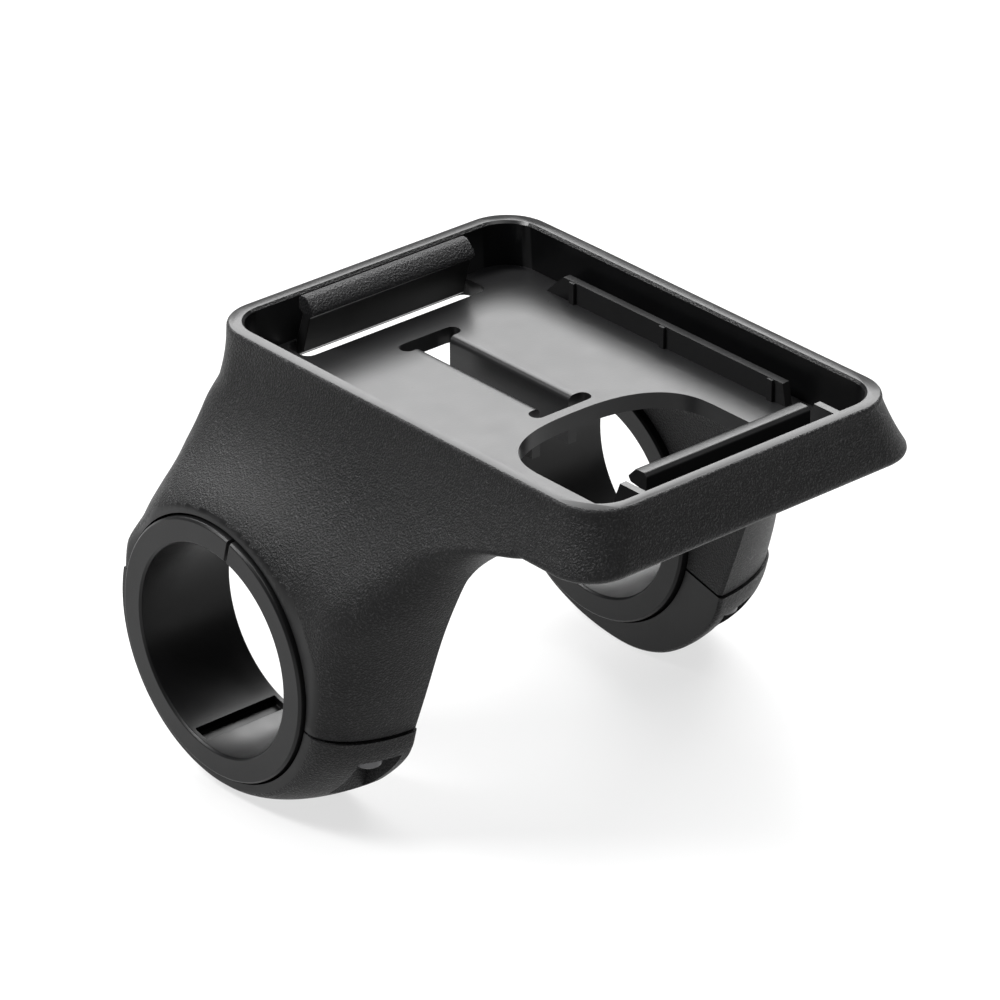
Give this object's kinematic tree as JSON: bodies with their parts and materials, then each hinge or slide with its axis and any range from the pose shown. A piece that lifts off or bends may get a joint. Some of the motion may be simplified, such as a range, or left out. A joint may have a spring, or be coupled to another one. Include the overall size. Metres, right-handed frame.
{
  "type": "handlebar_holder_for_cycling_computer",
  "caption": "Black moulded handlebar holder for a cycling computer: a shallow display tray with snap latches on flared legs, with hinged bar clamps lined by spacer rings",
  "frame": {"origin": "on the handlebar axis, midway between the clamps", "axes": "+X along the handlebar to the rider's right, +Y from the tray's free end towards the clamps, +Z normal to the tray floor"},
  "size_m": [0.07, 0.0721, 0.0509],
  "materials": {
    "textured_plastic": "fine moulded grain",
    "satin_plastic": "smooth satin",
    "dark_steel": "blackened",
    "brass": "turned"
  },
  "bodies": {
    "holder": {"holder_body": "textured_plastic", "left_threaded_insert": "brass", "right_threaded_insert": "brass"},
    "rear_latch": {"rear_release_latch": "textured_plastic"},
    "front_latch": {"front_latch_bar": "textured_plastic"},
    "left_cap": {"left_clamp_cap": "textured_plastic"},
    "right_cap": {"right_clamp_cap": "textured_plastic"},
    "left_ring": {"left_spacer_ring": "satin_plastic"},
    "right_ring": {"right_spacer_ring": "satin_plastic"},
    "left_screw": {"left_clamp_screw": "dark_steel"},
    "right_screw": {"right_clamp_screw": "dark_steel"}
  },
  "joints": [
    {"name": "left_cap_hinge", "type": "hinge", "parent": "holder", "child": "left_cap", "pos_m": [-0.0285, 0.01785, 0.00445], "axis": [1, 0, 0], "range_deg": [0, 70]},
    {"name": "right_cap_hinge", "type": "hinge", "parent": "holder", "child": "right_cap", "pos_m": [0.0285, 0.01785, 0.00445], "axis": [1, 0, 0], "range_deg": [0, 70]},
    {"name": "left_screw_slide", "type": "slide", "parent": "left_cap", "child": "left_screw", "axis": [0, 0.2419, -0.9703], "range_m": [0, 0.008]},
    {"name": "right_screw_slide", "type": "slide", "parent": "right_cap", "child": "right_screw", "axis": [0, 0.2419, -0.9703], "range_m": [0, 0.008]},
    {"name": "left_ring_slide", "type": "slide", "parent": "holder", "child": "left_ring", "axis": [-1, 0, 0], "range_m": [0, 0.014]},
    {"name": "right_ring_slide", "type": "slide", "parent": "holder", "child": "right_ring", "axis": [1, 0, 0], "range_m": [0, 0.014]},
    {"name": "rear_latch_flex", "type": "hinge", "parent": "holder", "child": "rear_latch", "pos_m": [0, 0.0117, 0.025], "axis": [-1, 0, 0], "range_deg": [0, 5], "stiffness_Nm_per_rad": 0.5},
    {"name": "front_latch_flex", "type": "hinge", "parent": "holder", "child": "front_latch", "pos_m": [0, -0.0463, 0.025], "axis": [1, 0, 0], "range_deg": [0, 9], "stiffness_Nm_per_rad": 0.5}
  ]
}
